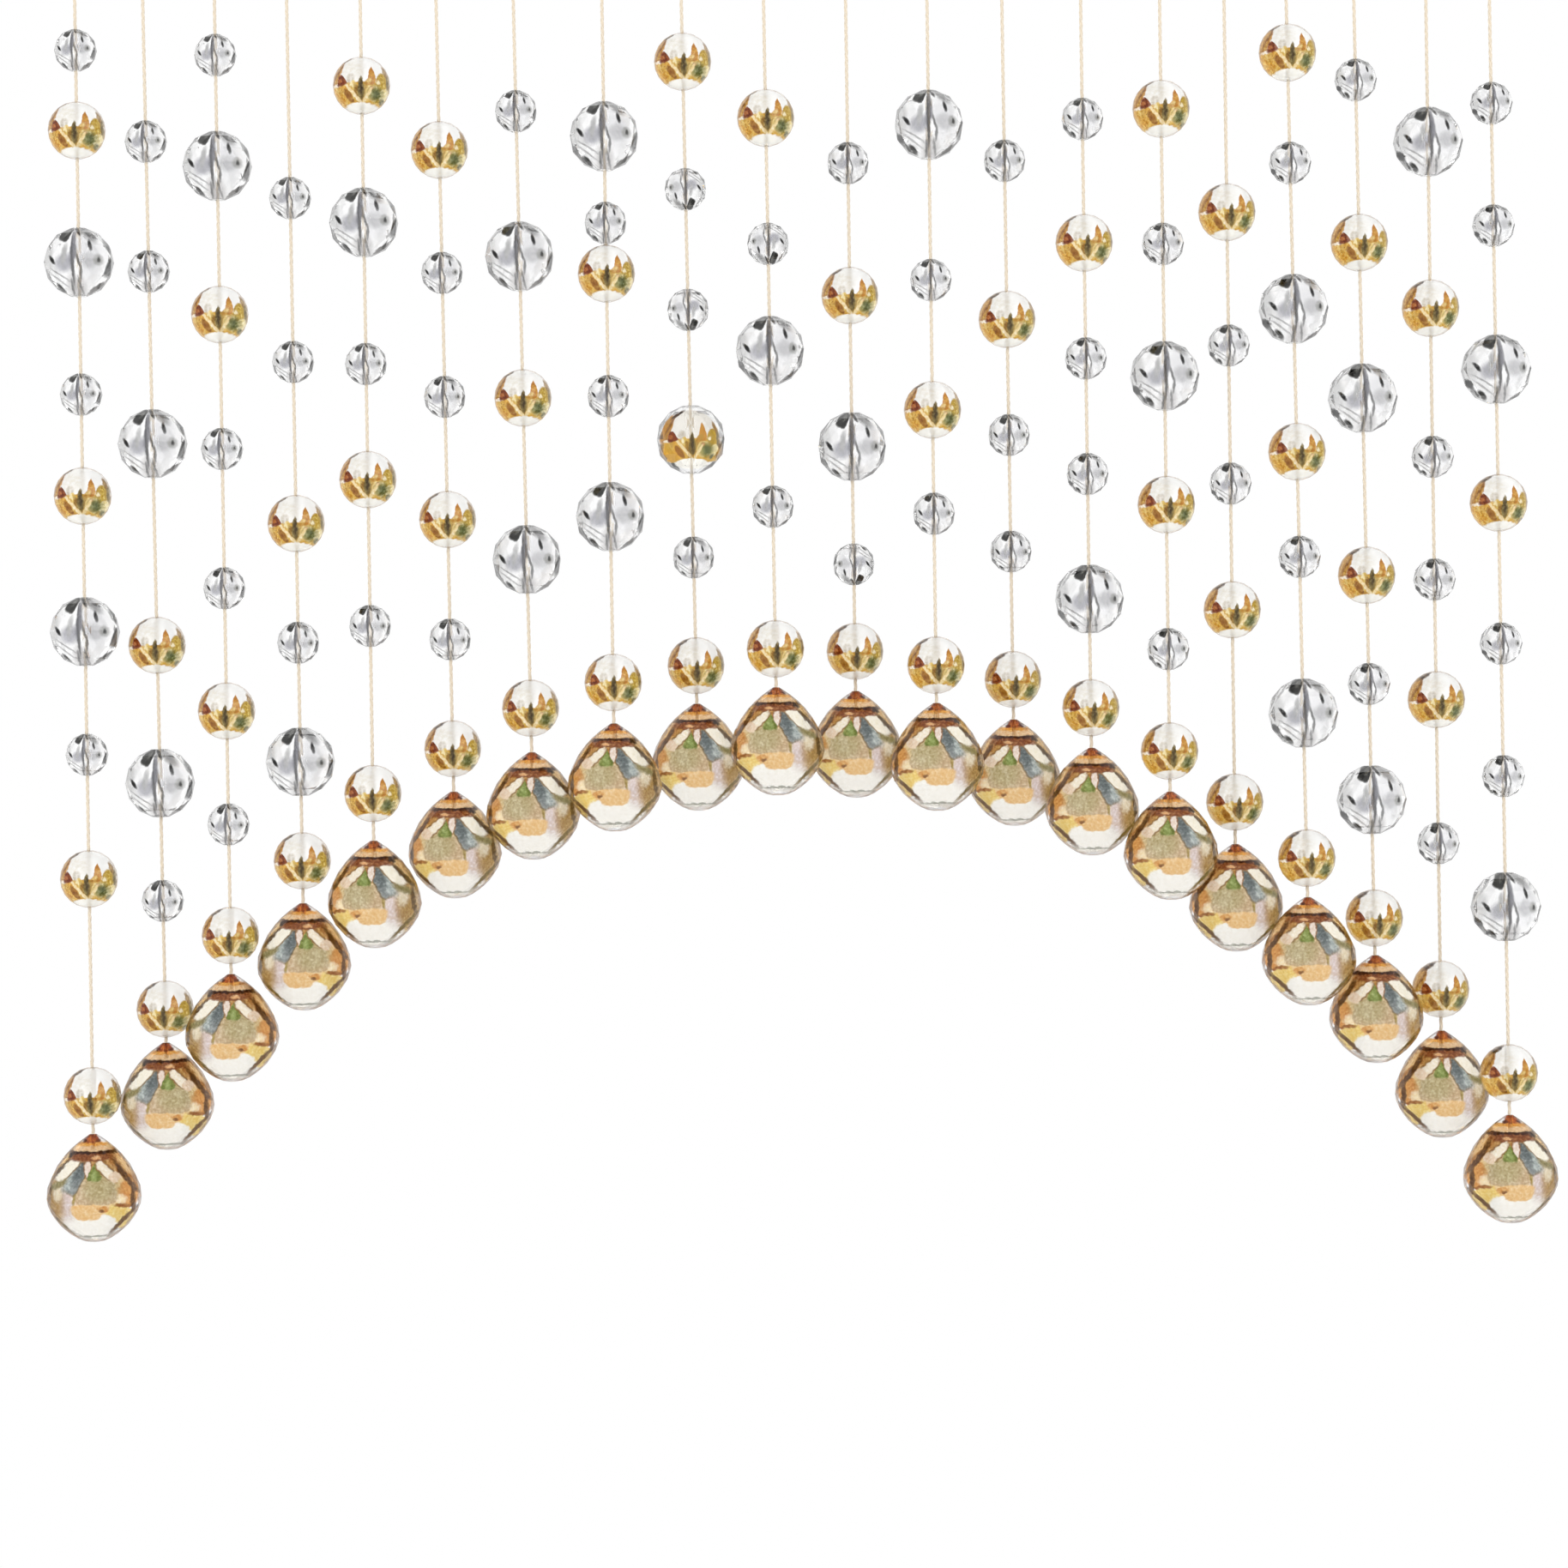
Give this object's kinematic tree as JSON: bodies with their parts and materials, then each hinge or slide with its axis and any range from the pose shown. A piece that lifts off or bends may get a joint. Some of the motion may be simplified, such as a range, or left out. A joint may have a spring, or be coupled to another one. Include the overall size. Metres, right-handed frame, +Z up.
{
  "type": "bead curtain",
  "caption": "Arched bead curtain: threaded strings of cut glass beads hang from a heading tape, each ending in a champagne glass drop.",
  "frame": {"origin": "middle of the heading tape's top edge", "axes": "+X to the right along the tape, -Y towards the viewer, +Z up; the strings hang along -Z"},
  "size_m": [0.6371, 0.0694, 0.5427],
  "materials": {
    "cord": "twisted cream cord and plain woven tape",
    "clear_glass": "polished cut clear glass",
    "champagne_glass": "polished cut champagne glass"
  },
  "bodies": {
    "root": {"stringing": "cord", "large_bead_01": "clear_glass", "large_bead_02": "clear_glass", "large_bead_03": "clear_glass", "large_bead_04": "clear_glass", "large_bead_05": "clear_glass", "large_bead_06": "clear_glass", "large_bead_07": "clear_glass", "large_bead_08": "clear_glass", "large_bead_09": "clear_glass", "large_bead_10": "clear_glass", "large_bead_11": "clear_glass", "large_bead_12": "clear_glass", "large_bead_13": "clear_glass", "large_bead_14": "clear_glass", "large_bead_15": "clear_glass", "large_bead_16": "clear_glass", "large_bead_17": "clear_glass", "large_bead_18": "clear_glass", "large_bead_19": "clear_glass", "large_bead_20": "clear_glass", "large_bead_21": "clear_glass", "large_bead_22": "clear_glass", "large_bead_23": "clear_glass", "large_bead_24": "clear_glass", "pendant_01": "champagne_glass", "pendant_02": "champagne_glass", "pendant_03": "champagne_glass", "pendant_04": "champagne_glass", "pendant_05": "champagne_glass", "pendant_06": "champagne_glass", "pendant_07": "champagne_glass", "pendant_08": "champagne_glass", "pendant_09": "champagne_glass", "pendant_10": "champagne_glass", "pendant_11": "champagne_glass", "pendant_12": "champagne_glass", "pendant_13": "champagne_glass", "pendant_14": "champagne_glass", "pendant_15": "champagne_glass", "pendant_16": "champagne_glass", "pendant_17": "champagne_glass", "pendant_18": "champagne_glass", "pendant_19": "champagne_glass", "pendant_20": "champagne_glass"}
  },
  "joints": []
}
